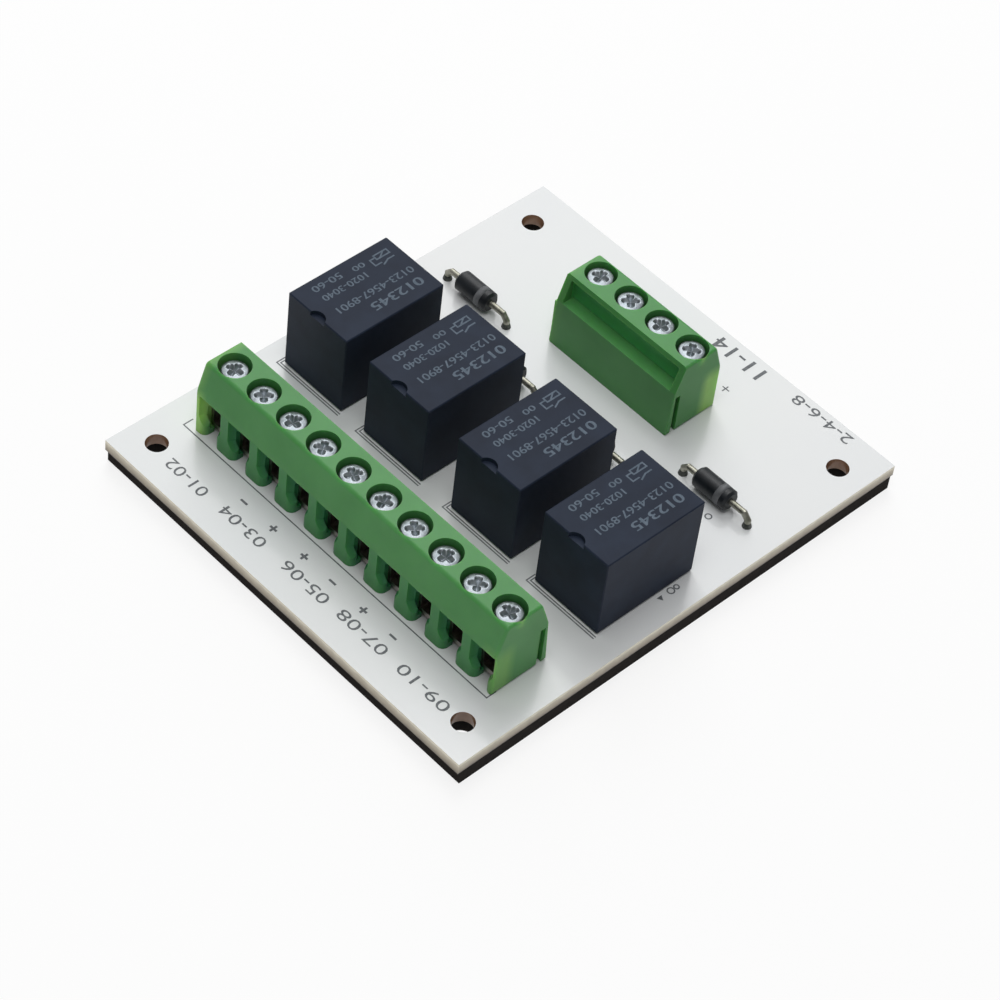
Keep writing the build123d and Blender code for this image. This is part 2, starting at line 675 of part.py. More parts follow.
# Screw terminal blocks
for name, block, poles, groove_side in (
    ("front", FRONT_BLOCK, FRONT_POLES, 1),
    ("rear", REAR_BLOCK, REAR_POLES, -1),
):
    rows = [block * place for place in pole_places(poles, POLE_ROW)]
    turned = [row * Location((0, 0, 0), (0, 0, pole * CROSS_TURN)) for pole, row in enumerate(rows)]
    save(f"{name}_terminal_housing", placed(terminal_housing(poles, groove_side), [block]))
    save(f"{name}_terminal_screws", placed(terminal_screw(), turned))
    save(f"{name}_wire_clamps", placed(wire_clamp(), rows))
    save(f"{name}_contact_strips", placed(contact_strip(), rows))

# Relays
RELAY_PIECES = {
    "cover": relay_cover(),
    "base": relay_base(),
    "yoke": relay_yoke(),
    "bobbin": relay_bobbin(),
    "winding": relay_winding(),
    "armature": relay_armature(),
    "terminals": relay_terminals(),
}
for number, relay in enumerate(RELAYS, start=1):
    for piece, part in RELAY_PIECES.items():
        save(f"relay_{number}_{piece}", placed(part, [relay]))

# Diodes
for number, diode in enumerate(DIODES, start=1):
    save(f"diode_{number}_body", placed(diode_body(), [diode]))
    save(f"diode_{number}_leads", placed(diode_leads(), [diode]))

# Solder joints, one group for each family of parts
with BuildPart() as solder_joint:
    with BuildSketch(Plane.XY.offset(PAD_THICK)):
        RegularPolygon(SOLDER_D / 2, SOLDER_SIDES)
    extrude(amount=-SOLDER_HEIGHT)
    chamfer(solder_joint.faces().sort_by(Axis.Z)[0].edges(), SOLDER_CHAMFER)
for family, pins in PINS.items():
    places = [Location((centre.X, centre.Y, 0)) for centre, width, thick in pins]
    save(f"{family}_solder", placed(solder_joint.part, places))
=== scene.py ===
import json
import math

import bmesh
import bpy
from mathutils import Matrix, Vector


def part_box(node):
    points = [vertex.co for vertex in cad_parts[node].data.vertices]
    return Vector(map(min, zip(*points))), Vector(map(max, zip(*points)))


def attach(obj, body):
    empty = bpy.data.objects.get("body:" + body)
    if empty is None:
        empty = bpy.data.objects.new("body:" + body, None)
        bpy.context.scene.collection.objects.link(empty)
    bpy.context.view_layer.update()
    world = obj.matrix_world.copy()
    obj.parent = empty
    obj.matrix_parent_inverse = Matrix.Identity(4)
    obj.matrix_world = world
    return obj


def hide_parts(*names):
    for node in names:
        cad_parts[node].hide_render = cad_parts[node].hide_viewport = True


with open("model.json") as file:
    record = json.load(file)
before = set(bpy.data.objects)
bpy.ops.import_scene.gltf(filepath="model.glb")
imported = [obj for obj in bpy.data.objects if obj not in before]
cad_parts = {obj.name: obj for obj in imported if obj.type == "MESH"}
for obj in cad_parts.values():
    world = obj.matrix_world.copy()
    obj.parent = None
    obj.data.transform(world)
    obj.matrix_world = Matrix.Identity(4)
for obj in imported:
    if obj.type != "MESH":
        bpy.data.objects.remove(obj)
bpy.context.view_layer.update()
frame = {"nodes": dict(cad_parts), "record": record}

MM = 0.001
RELAYS = range(1, 5)
DIODES = range(1, 5)

board_low, board_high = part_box("circuit_board")
# The board's size in millimetres
BOARD_X = (board_high.x - board_low.x) / MM
BOARD_Y = (board_high.y - board_low.y) / MM


def on_board(x, y, z=0.0):
    """A point in metres, from millimetres right, back and up from the board's front left corner."""
    return Vector((board_low.x + x * MM, board_low.y + y * MM, board_high.z + z * MM))


# Helpers for node materials

TONE_LOW = 0.3
TONE_HIGH = 0.7
FINE_GRAIN = 0.02 * MM
METAL_GRAIN = 0.03 * MM
PLASTIC_GRAIN_SCALE = 4000.0


def shader(name):
    """A new node material, its tree and its main shader."""
    material = bpy.data.materials.new(name)
    material.use_nodes = True
    tree = material.node_tree
    main = tree.nodes["Principled BSDF"]
    return material, tree, main


def add_noise(tree, scale, detail=4.0):
    """Noise in the object's own metres."""
    place = tree.nodes.new("ShaderNodeTexCoord")
    noise = tree.nodes.new("ShaderNodeTexNoise")
    noise.inputs["Scale"].default_value = scale
    noise.inputs["Detail"].default_value = detail
    noise.inputs["Roughness"].default_value = 0.5
    tree.links.new(place.outputs["Object"], noise.inputs["Vector"])
    return noise.outputs["Fac"]


def add_ramp(tree, source, stops):
    """A colour read from (place, colour) stops."""
    ramp = tree.nodes.new("ShaderNodeValToRGB")
    elements = ramp.color_ramp.elements
    while len(elements) < len(stops):
        elements.new(0.5)
    for element, (place, colour) in zip(elements, stops):
        element.position = place
        element.color = (*colour, 1.0)
    tree.links.new(source, ramp.inputs["Fac"])
    return ramp.outputs["Color"]


def add_tones(tree, scale, low, high):
    """A colour that wanders between two tones."""
    return add_ramp(tree, add_noise(tree, scale), ((TONE_LOW, low), (TONE_HIGH, high)))


def add_bump(tree, main, source, strength, distance):
    """Fine relief on the main shader."""
    bump = tree.nodes.new("ShaderNodeBump")
    bump.inputs["Strength"].default_value = strength
    bump.inputs["Distance"].default_value = distance
    tree.links.new(source, bump.inputs["Height"])
    tree.links.new(bump.outputs["Normal"], main.inputs["Normal"])


def add_math(tree, operation, first, second=None):
    """A maths node fed by a socket, and by a second socket or number."""
    node = tree.nodes.new("ShaderNodeMath")
    node.operation = operation
    tree.links.new(first, node.inputs[0])
    if isinstance(second, (int, float)):
        node.inputs[1].default_value = second
    elif second is not None:
        tree.links.new(second, node.inputs[1])
    return node.outputs["Value"]


def add_product(tree, first, *others):
    """All these values multiplied. As masks, it is 1 only where each of them is."""
    for other in others:
        first = add_math(tree, "MULTIPLY", first, other)
    return first


def add_distance(tree, source, place):
    """How far a value lies from a number, on either side."""
    return add_math(tree, "ABSOLUTE", add_math(tree, "SUBTRACT", source, place))


def add_place(tree):
    """The object's own X, Y and Z, in metres."""
    place = tree.nodes.new("ShaderNodeTexCoord")
    split = tree.nodes.new("ShaderNodeSeparateXYZ")
    tree.links.new(place.outputs["Object"], split.inputs["Vector"])
    return split.outputs


def add_span(tree, source, low, high):
    """A value that runs from 0 at low to 1 at high."""
    span = tree.nodes.new("ShaderNodeMapRange")
    span.inputs["From Min"].default_value = low
    span.inputs["From Max"].default_value = high
    tree.links.new(source, span.inputs["Value"])
    return span.outputs["Result"]


def add_mix(tree, factor, first, second):
    """A colour between two others."""
    mix = tree.nodes.new("ShaderNodeMix")
    mix.data_type = "RGBA"
    tree.links.new(factor, mix.inputs["Factor"])
    tree.links.new(first, mix.inputs["A"])
    tree.links.new(second, mix.inputs["B"])
    return mix.outputs["Result"]


def mottled(name, low, high, scale, rough, shine=0.5, relief=0.0):
    """A plain material whose colour wanders a little, with fine relief where asked."""
    material, tree, main = shader(name)
    tree.links.new(add_tones(tree, scale, low, high), main.inputs["Base Color"])
    main.inputs["Roughness"].default_value = rough
    main.inputs["Specular IOR Level"].default_value = shine
    if relief:
        grain = add_noise(tree, PLASTIC_GRAIN_SCALE, detail=2.0)
        add_bump(tree, main, grain, relief, FINE_GRAIN)
    return material


def bright_metal(name, low, high, rough):
    """Plated metal with fine scratches and a slightly uneven shine."""
    material, tree, main = shader(name)
    wander = add_noise(tree, 1500, detail=6.0)
    tree.links.new(add_ramp(tree, wander, ((0.35, low), (0.65, high))), main.inputs["Base Color"])
    main.inputs["Metallic"].default_value = 1.0
    spread = tree.nodes.new("ShaderNodeMapRange")
    spread.inputs["To Min"].default_value = rough * 0.7
    spread.inputs["To Max"].default_value = rough * 1.3
    tree.links.new(wander, spread.inputs["Value"])
    tree.links.new(spread.outputs["Result"], main.inputs["Roughness"])
    add_bump(tree, main, wander, 0.3, METAL_GRAIN)
    return material


# The board

HOLE_BAND = 1.2 * MM
EDGE_GRAIN = 0.3
BOARD_ROUGHNESS = 0.16
MASK_TONES = ((0.73, 0.75, 0.76), (0.76, 0.77, 0.77))
HOLE_TONES = ((0.36, 0.20, 0.12), (0.50, 0.31, 0.20))
EDGE_AND_HIGHLIGHT_STOPS = (
    # From the underside up; the pale cream at the top is a painted highlight
    (0.15, (0.17, 0.135, 0.10)),
    (0.45, (0.38, 0.32, 0.225)),
    (0.80, (0.58, 0.52, 0.39)),
    (1.0, (0.86, 0.80, 0.64)),
)


def board_material():
    """White solder mask on the faces, pale laminate round the edge with a painted highlight along its top,
    brown walls in the holes.
    """
    material, tree, main = shader("board_white")
    mask = add_tones(tree, 35, *MASK_TONES)
    place = add_place(tree)
    # The cut edge is darker towards the underside, has a painted highlight along its top, and its layers are
    # uneven
    height = add_span(tree, place["Z"], board_low.z, board_high.z)
    grain = add_math(tree, "MULTIPLY", add_noise(tree, 900), EDGE_GRAIN)
    edge_and_highlight = add_ramp(tree, add_math(tree, "ADD", height, grain), EDGE_AND_HIGHLIGHT_STOPS)
    hole = add_tones(tree, 900, *HOLE_TONES)
    inside_x = add_math(tree, "LESS_THAN", add_math(tree, "ABSOLUTE", place["X"]), board_high.x - HOLE_BAND)
    inside_y = add_math(tree, "LESS_THAN", add_math(tree, "ABSOLUTE", place["Y"]), board_high.y - HOLE_BAND)
    cut = add_mix(tree, add_product(tree, inside_x, inside_y), edge_and_highlight, hole)
    facing = tree.nodes.new("ShaderNodeNewGeometry")
    split = tree.nodes.new("ShaderNodeSeparateXYZ")
    tree.links.new(facing.outputs["True Normal"], split.inputs["Vector"])
    flat = add_math(tree, "ABSOLUTE", split.outputs["Z"])
    tree.links.new(add_mix(tree, flat, cut, mask), main.inputs["Base Color"])
    main.inputs["Roughness"].default_value = BOARD_ROUGHNESS
    add_bump(tree, main, add_noise(tree, 2500), 0.05, FINE_GRAIN)
    return material


# The green blocks. Heights are over the board, and depths are from the face with the wire entries

# How far in from the left end the painted light through the end wall reaches
END_GLOW = 1.9 * MM

# The thin end walls beside the first and last scoop, where painted light shows through
THIN_REACH = 2.4 * MM
THIN_WALL = 1.3 * MM
THIN_DEEP = 3.3 * MM
THIN_FULL = 1.9 * MM
THIN_HIGH = 7.4 * MM
THIN_LOW = 5.4 * MM
THIN_GLOW = 0.85

# The scoops in front of the wires, darkened with painted shade
SCOOP_START = -0.5 * MM
SCOOP_END = 1.0 * MM
SCOOP_LIMIT = 6.0 * MM
SCOOP_TOP = 6.2 * MM
SCOOP_SIDE = 0.1 * MM

# The long recess behind the screws, lightened with painted light
RECESS_NEAR = 5.7 * MM
RECESS_FAR = 6.3 * MM
RECESS_LOW = 6.75 * MM
RECESS_HIGH = 9.9 * MM
RECESS_SIDE = 0.4 * MM

BODY_TONES = ((0.068, 0.262, 0.072), (0.082, 0.295, 0.086))
# Painted light through the thin end walls
THIN_GLOW_TONES = ((0.34, 0.64, 0.13), (0.40, 0.72, 0.17))
# Painted shade in the scoops
SCOOP_SHADE_TONES = ((0.022, 0.190, 0.070), (0.032, 0.225, 0.085))
# Painted light on the floor of the recess
RECESS_LIGHT_TONES = ((0.082, 0.44, 0.125), (0.098, 0.49, 0.145))


class BlockPlace:
    """Where a point lies on one terminal block, as sockets of its material and numbers in metres."""

    def __init__(self, tree, node, inward):
        self.low, self.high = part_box(node)
        place = add_place(tree)
        self.across = place["X"]
        self.along = place["Y"]
        self.height = place["Z"]
        self.inward = inward
        self.face = self.low.y if inward > 0 else self.high.y
        self.depth = add_distance(tree, self.along, self.face)
        self.half = (self.high.x - self.low.x) / 2
        self.offset = add_distance(tree, self.across, (self.low.x + self.high.x) / 2)


def end_glow(tree, at, left_glow_share, thin_right_glow_share):
    """Painted light: how much light the end walls let through, most of all beside the scoops."""
    left = add_span(tree, at.across, at.low.x + END_GLOW, at.low.x)
    thin_left = add_span(tree, at.across, at.low.x + THIN_REACH, at.low.x + THIN_WALL)
    thin_right = add_span(tree, at.across, at.high.x - THIN_REACH, at.high.x - THIN_WALL)
    thin_ends = add_math(tree, "MAXIMUM", thin_left, add_product(tree, thin_right, thin_right_glow_share))
    front = add_span(tree, at.depth, THIN_DEEP, THIN_FULL)
    lower = add_span(tree, at.height, board_high.z + THIN_HIGH, board_high.z + THIN_LOW)
    thinnest = add_product(tree, thin_ends, front, lower, THIN_GLOW)
    return add_math(tree, "MAXIMUM", thinnest, add_product(tree, left, left_glow_share))


def scoop_shade_mask(tree, at):
    """1 inside the scoops, where the colour is darkened as painted shade."""
    start = at.face + at.inward * SCOOP_START
    end = at.face + at.inward * SCOOP_END
    deeper = add_span(tree, at.along, start, end)
    under = add_math(tree, "LESS_THAN", at.height, board_high.z + SCOOP_TOP)
    between = add_math(tree, "LESS_THAN", at.offset, at.half - SCOOP_SIDE)
    front = add_math(tree, "LESS_THAN", at.depth, SCOOP_LIMIT)
    return add_product(tree, deeper, under, between, front)


def recess_light_mask(tree, at):
    """1 on the floor of the long recess, where painted light makes the green clearer."""
    past = add_math(tree, "GREATER_THAN", at.depth, RECESS_NEAR)
    before = add_math(tree, "LESS_THAN", at.depth, RECESS_FAR)
    above = add_math(tree, "GREATER_THAN", at.height, board_high.z + RECESS_LOW)
    below = add_math(tree, "LESS_THAN", at.height, board_high.z + RECESS_HIGH)
    between = add_math(tree, "LESS_THAN", at.offset, at.half - RECESS_SIDE)
    return add_product(tree, past, before, above, below, between)


def terminal_green(name, node, left_glow_share, thin_right_glow_share, inward):
    """Green plastic that lets a little light through. Its wire entries look along Y if inward is -1."""
    material, tree, main = shader(name)
    at = BlockPlace(tree, node, inward)
    colour = add_tones(tree, 260, *BODY_TONES)
    # Painted shade darkens the scoops, painted light makes the recess floor a clearer green, and painted
    # light through the thin end walls glows yellow-green
    for mask, tones in (
        (scoop_shade_mask(tree, at), SCOOP_SHADE_TONES),
        (recess_light_mask(tree, at), RECESS_LIGHT_TONES),
        (end_glow(tree, at, left_glow_share, thin_right_glow_share), THIN_GLOW_TONES),
    ):
        colour = add_mix(tree, mask, colour, add_tones(tree, 400, *tones))
    tree.links.new(colour, main.inputs["Base Color"])
    main.inputs["Roughness"].default_value = 0.45
    main.inputs["Specular IOR Level"].default_value = 0.35
    main.inputs["Subsurface Weight"].default_value = 0.45
    main.inputs["Subsurface Radius"].default_value = (0.45, 1.0, 0.20)
    main.inputs["Subsurface Scale"].default_value = 1.2 * MM
    add_bump(tree, main, add_noise(tree, 3000), 0.08, FINE_GRAIN)
    return material


# Materials

BOARD = board_material()
PAD = mottled("pad_black", (0.008, 0.006, 0.005), (0.018, 0.014, 0.012), 900, 0.85, shine=0.15, relief=0.7)
FRONT_GREEN = terminal_green("front_green", "front_terminal_housing", 0.4, 0.35, 1)
REAR_GREEN = terminal_green("rear_green", "rear_terminal_housing", 0.15, 0.85, -1)
SCREW = bright_metal("screw_plating", (0.22, 0.25, 0.27), (0.36, 0.39, 0.42), 0.42)
CLAMP = bright_metal("clamp_plating", (0.42, 0.37, 0.35), (0.60, 0.54, 0.52), 0.34)
STRIP = bright_metal("strip_tin", (0.55, 0.50, 0.42), (0.70, 0.66, 0.58), 0.35)
CASE = mottled("relay_case", (0.011, 0.017, 0.033), (0.016, 0.025, 0.047), 300, 0.60, shine=0.19, relief=0.25)
BASE = mottled("relay_base", (0.010, 0.010, 0.011), (0.018, 0.018, 0.020), 300, 0.6, relief=0.25)
IRON = bright_metal("relay_iron", (0.45, 0.45, 0.46), (0.60, 0.60, 0.61), 0.4)
BOBBIN = mottled("bobbin_cream", (0.55, 0.50, 0.40), (0.62, 0.57, 0.47), 300, 0.5)
COPPER = bright_metal("enamelled_copper", (0.40, 0.13, 0.05), (0.55, 0.20, 0.08), 0.25)
CONTACT = bright_metal("contact_metal", (0.62, 0.55, 0.42), (0.78, 0.70, 0.56), 0.3)
DIODE = mottled("diode_black", (0.004, 0.006, 0.008), (0.010, 0.013, 0.017), 700, 0.42, shine=0.4, relief=0.3)
BAND = mottled("diode_band", (0.075, 0.08, 0.085), (0.15, 0.155, 0.165), 900, 0.6)
LEAD = bright_metal("lead_tin", (0.25, 0.25, 0.20), (0.44, 0.43, 0.37), 0.45)
SOLDER = bright_metal("solder", (0.45, 0.45, 0.46), (0.70, 0.70, 0.72), 0.3)
DARK_COLLAR_METAL = bright_metal("dark_lead_collar", (0.06, 0.065, 0.06), (0.16, 0.165, 0.155), 0.45)
BOARD_INK = mottled("board_ink", (0.09, 0.10, 0.11), (0.17, 0.18, 0.19), 2500, 0.6)
CASE_INK = mottled("case_ink", (0.075, 0.105, 0.14), (0.12, 0.155, 0.20), 2500, 0.6, shine=0.2)

SLOT_LOOKS = {
    "board": BOARD,
    "pad": PAD,
    "terminal_green": FRONT_GREEN,
    "terminal_screw": SCREW,
    "terminal_clamp": CLAMP,
    "contact_strip": STRIP,
    "relay_case": CASE,
    "relay_base": BASE,
    "relay_iron": IRON,
    "relay_bobbin": BOBBIN,
    "relay_winding": COPPER,
    "relay_terminal": CONTACT,
    "diode_body": DIODE,
    "diode_lead": LEAD,
    "solder": SOLDER,
}
node_slot = {part["node"]: part["material_slot"] for part in frame["record"]["subparts"]}
for node, shape in frame["nodes"].items():
    shape.data.materials.clear()
    shape.data.materials.append(SLOT_LOOKS[node_slot[node]])
frame["nodes"]["rear_terminal_housing"].data.materials[0] = REAR_GREEN


# Making pieces


def round_points(radius, steps):
    """Points of a circle round zero."""
    turns = (2 * math.pi * step / steps for step in range(steps))
    return [(radius * math.cos(turn), radius * math.sin(turn)) for turn in turns]


def smooth_mesh(name, shape):
    """Turns what was gathered into a smooth mesh."""
    mesh = bpy.data.meshes.new(name)
    shape.to_mesh(mesh)
    shape.free()
    mesh.shade_smooth()
    return mesh


def new_piece(name, mesh, material):
    """Links a finished mesh as one visible piece that rides on the board."""
    mesh.materials.clear()
    mesh.materials.append(material)
    piece = bpy.data.objects.new(name, mesh)
    bpy.context.scene.collection.objects.link(piece)
    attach(piece, "root")
    return piece


# Printing, made of thin flat shapes a hair above the surface. Lengths are in millimetres

PRINT_LIFT = 0.008
# Strokes that cross lie at heights of their own, this far apart
INK_LAYERS = 7
INK_STEP = 0.0015
# Height of a capital over the font's size
CAPITAL = 0.7
LINE = 0.16
SIGN_LINE = 0.3
DIAGRAM_LINE = 0.2
CIRCLE_STEPS = 24
NO_TURN = Matrix.Identity(4)


class Print:
    """Gathers flat strokes and letters into one mesh."""

    def __init__(self):
        self.mesh = bmesh.new()
        self.layer = 0

    def next_height(self):
        """The height of the next stroke over the first layer of ink."""
        self.layer = (self.layer + 1) % INK_LAYERS
        return Vector((0.0, 0.0, self.layer * INK_STEP))

    def patch(self, corners):
        """One flat face through these points."""
        lift = self.next_height()
        self.mesh.faces.new([self.mesh.verts.new(Vector(corner) + lift) for corner in corners])

    def stroke(self, start, end, width, place=NO_TURN):
        """A straight line of ink between two points."""
        start = Vector((*start, 0.0))
        end = Vector((*end, 0.0))
        along = (end - start).normalized()
        side = Vector((-along.y, along.x, 0.0)) * width / 2
        cap = along * width / 2
        corners = (start - cap - side, end + cap - side, end + cap + side, start - cap + side)
        self.patch([place @ corner for corner in corners])

    def path(self, points, width, place=NO_TURN, closed=False):
        """A bent line of ink."""
        ends = points[1:] + (points[:1] if closed else ())
        for start, end in zip(points, ends):
            self.stroke(start, end, width, place)

    def circle(self, x, y, radius, width):
        """A round line of ink."""
        points = tuple((x + across, y + along) for across, along in round_points(radius, CIRCLE_STEPS))
        self.path(points, width, closed=True)

    def words(self, text, height, length, place, bold=0.0):
        """Plain figures, centred on place, over this length. Bold ones are printed twice, side by side."""
        curve = bpy.data.curves.new("print_text", "FONT")
        curve.body = text
        curve.size = height / CAPITAL
        curve.align_x = "CENTER"
        curve.align_y = "CENTER"
        curve.resolution_u = 3
        helper = bpy.data.objects.new("print_text", curve)
        bpy.context.scene.collection.objects.link(helper)
        bpy.context.view_layer.update()
        flat = bpy.data.meshes.new_from_object(helper.evaluated_get(bpy.context.evaluated_depsgraph_get()))
        across = [vert.co.x for vert in flat.vertices]
        left, right = min(across), max(across)
        stretch = Matrix.Diagonal((length / (right - left), 1.0, 1.0, 1.0))
        flat.transform(place @ stretch @ Matrix.Translation((-(left + right) / 2, 0.0, 0.0)))
        for side in (-bold / 2, bold / 2) if bold else (0.0,):
            shift = Matrix.Translation(place.to_3x3() @ Vector((side, 0.0, 0.0)) + self.next_height())
            flat.transform(shift)
            self.mesh.from_mesh(flat)
            flat.transform(shift.inverted())
        bpy.data.objects.remove(helper)
        bpy.data.curves.remove(curve)
        bpy.data.meshes.remove(flat)

    def finish(self, name, origin, material):
        """Turns what was gathered into a piece, its zero at origin in the frame's metres."""
        mesh = bpy.data.meshes.new(name)
        self.mesh.to_mesh(mesh)
        self.mesh.free()
        mesh.transform(Matrix.Translation(origin) @ Matrix.Scale(MM, 4))
        return new_piece(name, mesh, material)


def turned(x, y, degrees):
    """Place of a print: a point and the direction that it runs in."""
    return Matrix.Translation((x, y, 0.0)) @ Matrix.Rotation(math.radians(degrees), 4, "Z")


# Board print. It is read from the far side, and places are from the board's front left corner

BACKWARDS = 180.0
LABEL_HEIGHT = 1.55
FRONT_LABELS = (
    # Text, length, place across and along
    ("01-02", 6.6, 10.2, 3.7),
    ("03-04", 7.2, 19.8, 3.9),
    ("05-06", 7.3, 30.4, 4.0),
    ("07-08", 7.6, 39.8, 4.2),
    ("09-10", 7.8, 49.8, 4.2),
)
SIGN_ROW = 6.3
SIGN_REACH = 0.4
SIGNS = ((17.1, "-"), (22.2, "+"), (27.5, "+"), (32.3, "-"), (37.5, "+"), (42.4, "-"))
# How far the line round the front block stands off it, and how far back it returns
OUTLINE_LEFT = 0.8
OUTLINE_RIGHT = 0.1
OUTLINE_FRONT = 0.55
OUTLINE_RETURN = 0.8
# The double line round each relay's front
RELAY_LINE_GAPS = (0.28, 0.62)
RELAY_LINE_RETURN = 0.7
RELAY_LINE_RIGHT = 0.1
CIRCLES = ((51.8, 46.5, 0.38), (57.0, 35.2, 0.42), (57.0, 36.1, 0.30))
ARROW = ((56.8, 33.1, 0.0), (57.5, 33.5, 0.0), (56.8, 33.9, 0.0))
REAR_SIGN = (((38.4, 62.6), (39.3, 62.6)), ((38.8, 62.1), (38.8, 63.0)))


def box_on_board(node):
    """Left, right and front of a node, in millimetres from the board's front left corner."""
    low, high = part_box(node)
    return (low.x - board_low.x) / MM, (high.x - board_low.x) / MM, (low.y - board_low.y) / MM


def front_marks(ink):
    """The line, labels and pole signs in front of the long block."""
    left, right, front = box_on_board("front_terminal_housing")
    left -= OUTLINE_LEFT
    right -= OUTLINE_RIGHT
    back = front + OUTLINE_RETURN
    front -= OUTLINE_FRONT
    ink.path(((left, back), (left, front), (right, front), (right, back)), LINE)
    for text, length, x, y in FRONT_LABELS:
        ink.words(text, LABEL_HEIGHT, length, turned(x, y, BACKWARDS))
    for x, sign in SIGNS:
        ink.stroke((x - SIGN_REACH, SIGN_ROW), (x + SIGN_REACH, SIGN_ROW), SIGN_LINE)
        if sign == "+":
            ink.stroke((x, SIGN_ROW - SIGN_REACH), (x, SIGN_ROW + SIGN_REACH), SIGN_LINE)


def relay_marks(ink):
    """The double lines round the relays' fronts."""
    for number in RELAYS:
        left, right, front = box_on_board(f"relay_{number}_cover")
        back = front + RELAY_LINE_RETURN
        for gap in RELAY_LINE_GAPS:
            corner = (left - gap, front - gap)
            ink.path(((left - gap, back), corner, (right + RELAY_LINE_RIGHT, front - gap)), LINE)


def board_print():
    """All the print on the board."""
    ink = Print()
    front_marks(ink)
    ink.words("11-14", 2.2, 7.6, turned(36.2, 67.6, BACKWARDS), bold=0.09)
    ink.words("2-4-6-8", LABEL_HEIGHT, 9.2, turned(49.5, 68.2, BACKWARDS))
    relay_marks(ink)
    for x, y, radius in CIRCLES:
        ink.circle(x, y, radius, LINE)
    ink.patch(ARROW)
    for start, end in REAR_SIGN:
        ink.stroke(start, end, LINE)
    return ink.finish("board_print", on_board(0, 0, PRINT_LIFT), BOARD_INK)


# Lid print. It is read along -Y, and places are from the lid's middle

DOWN = -90.0
LID_LINES = (
    # Text, height, length, place across and along, and how bold
    ("012345", 1.3, 7.6, 2.72, 2.3, 0.12),
    ("0123-4567-8901", 1.05, 11.5, 0.68, 0.7, 0.05),
    ("1020-3040", 0.95, 6.6, -1.8, -1.8, 0.06),
    ("00", 0.8, 1.7, -3.3, 1.6, 0.06),
    ("50-60", 1.0, 4.3, -3.6, -3.0, 0.06),
)
# A plain contact diagram: a coil and an open contact
DIAGRAM_X = -2.75
DIAGRAM_Y = 4.7
COIL_BOX = ((-1.4, -0.8), (0.6, -0.8), (0.6, -0.1), (-1.4, -0.1))
COIL_SLASH = ((-0.9, -0.8), (0.1, -0.1))
CONTACT_ARM = ((-1.4, 0.6), (-0.5, 0.6), (0.4, 1.0))
CONTACT_LEAD = ((0.5, 0.6), (1.4, 0.6), (1.4, -0.45), (0.6, -0.45))


def relay_print(number):
    """Figures and the contact diagram on one relay's lid."""
    low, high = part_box(f"relay_{number}_cover")
    ink = Print()
    for text, height, length, x, y, bold in LID_LINES:
        ink.words(text, height, length, turned(x, y, DOWN), bold)
    diagram = turned(DIAGRAM_X, DIAGRAM_Y, DOWN)
    ink.path(COIL_BOX, DIAGRAM_LINE, diagram, closed=True)
    for line in (COIL_SLASH, CONTACT_ARM, CONTACT_LEAD):
        ink.path(line, DIAGRAM_LINE, diagram)
    middle = (low + high) / 2
    origin = Vector((middle.x, middle.y, high.z + PRINT_LIFT * MM))
    return ink.finish(f"relay_{number}_print", origin, CASE_INK)


board_print()
for relay_number in RELAYS:
    relay_print(relay_number)


# Diode bands

BAND_SHARE = 0.16
BAND_INSET = 1.6
BAND_INNER = 0.98
BAND_PROUD = 0.012 * MM
BAND_STEPS = 40


def ring_mesh(name, inner, outer, length):
    """A short tube along X, centred on zero, in metres."""
    shape = bmesh.new()
    rows = []
    for radius in (outer, inner):
        for x in (-length / 2, length / 2):
            rows.append([shape.verts.new((x, y, z)) for y, z in round_points(radius, BAND_STEPS)])
    for near, far in ((0, 1), (1, 3), (3, 2), (2, 0)):
        for step in range(BAND_STEPS):
            follow = (step + 1) % BAND_STEPS
            shape.faces.new((rows[near][step], rows[near][follow], rows[far][follow], rows[far][step]))
    bmesh.ops.recalc_face_normals(shape, faces=shape.faces)
    return smooth_mesh(name, shape)


def diode_band(number):
    """The pale band that marks one end of a diode."""
    low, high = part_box(f"diode_{number}_body")
    radius = (high.z - low.z) / 2
    width = (high.x - low.x) * BAND_SHARE
    mesh = ring_mesh(f"diode_{number}_band", radius * BAND_INNER, radius + BAND_PROUD, width)
    middle = (low + high) / 2
    mesh.transform(Matrix.Translation((high.x - width * BAND_INSET, middle.y, middle.z)))
    return new_piece(f"diode_{number}_band", mesh, BAND)


for diode_number in DIODES:
    diode_band(diode_number)


# Terminal screws, with domed heads, tapered cross recesses and threads

HEAD_SEAT = 1.8 * MM
HEAD_DOME = 0.22 * MM
HEAD_ROUND = 0.14 * MM
ROUND_SHARE = 0.3
RECESS_REACH = 1.2 * MM
RECESS_HALF = 0.46 * MM
RECESS_DEPTH = 0.5 * MM
RECESS_WALL = 0.5 * MM
SHANK_RADIUS = 1.1 * MM
THREAD_DEPTH = 0.16 * MM
THREAD_PITCH = 0.5 * MM
TIP_HEIGHT = 0.1 * MM
TIP_SHARE = 0.6
HEAD_RINGS = 26
HEAD_STEPS = 80
# Each screw stands at another angle
FIRST_TURN = 12.0
TURN_STEP = 37.0


def ease(value):
    """A smooth step from 0 to 1."""
    value = min(max(value, 0.0), 1.0)
    return value * value * (3.0 - 2.0 * value)


def recess_depth(x, y):
    """How deep the cross is cut at a point of the head."""
    deepest = 0.0
    for along, across in ((abs(x), abs(y)), (abs(y), abs(x))):
        reach = ease((RECESS_REACH - along) / RECESS_WALL)
        width = min(max((RECESS_HALF - across) / RECESS_HALF, 0.0), 1.0)
        deepest = max(deepest, reach * width)
    return RECESS_DEPTH * deepest


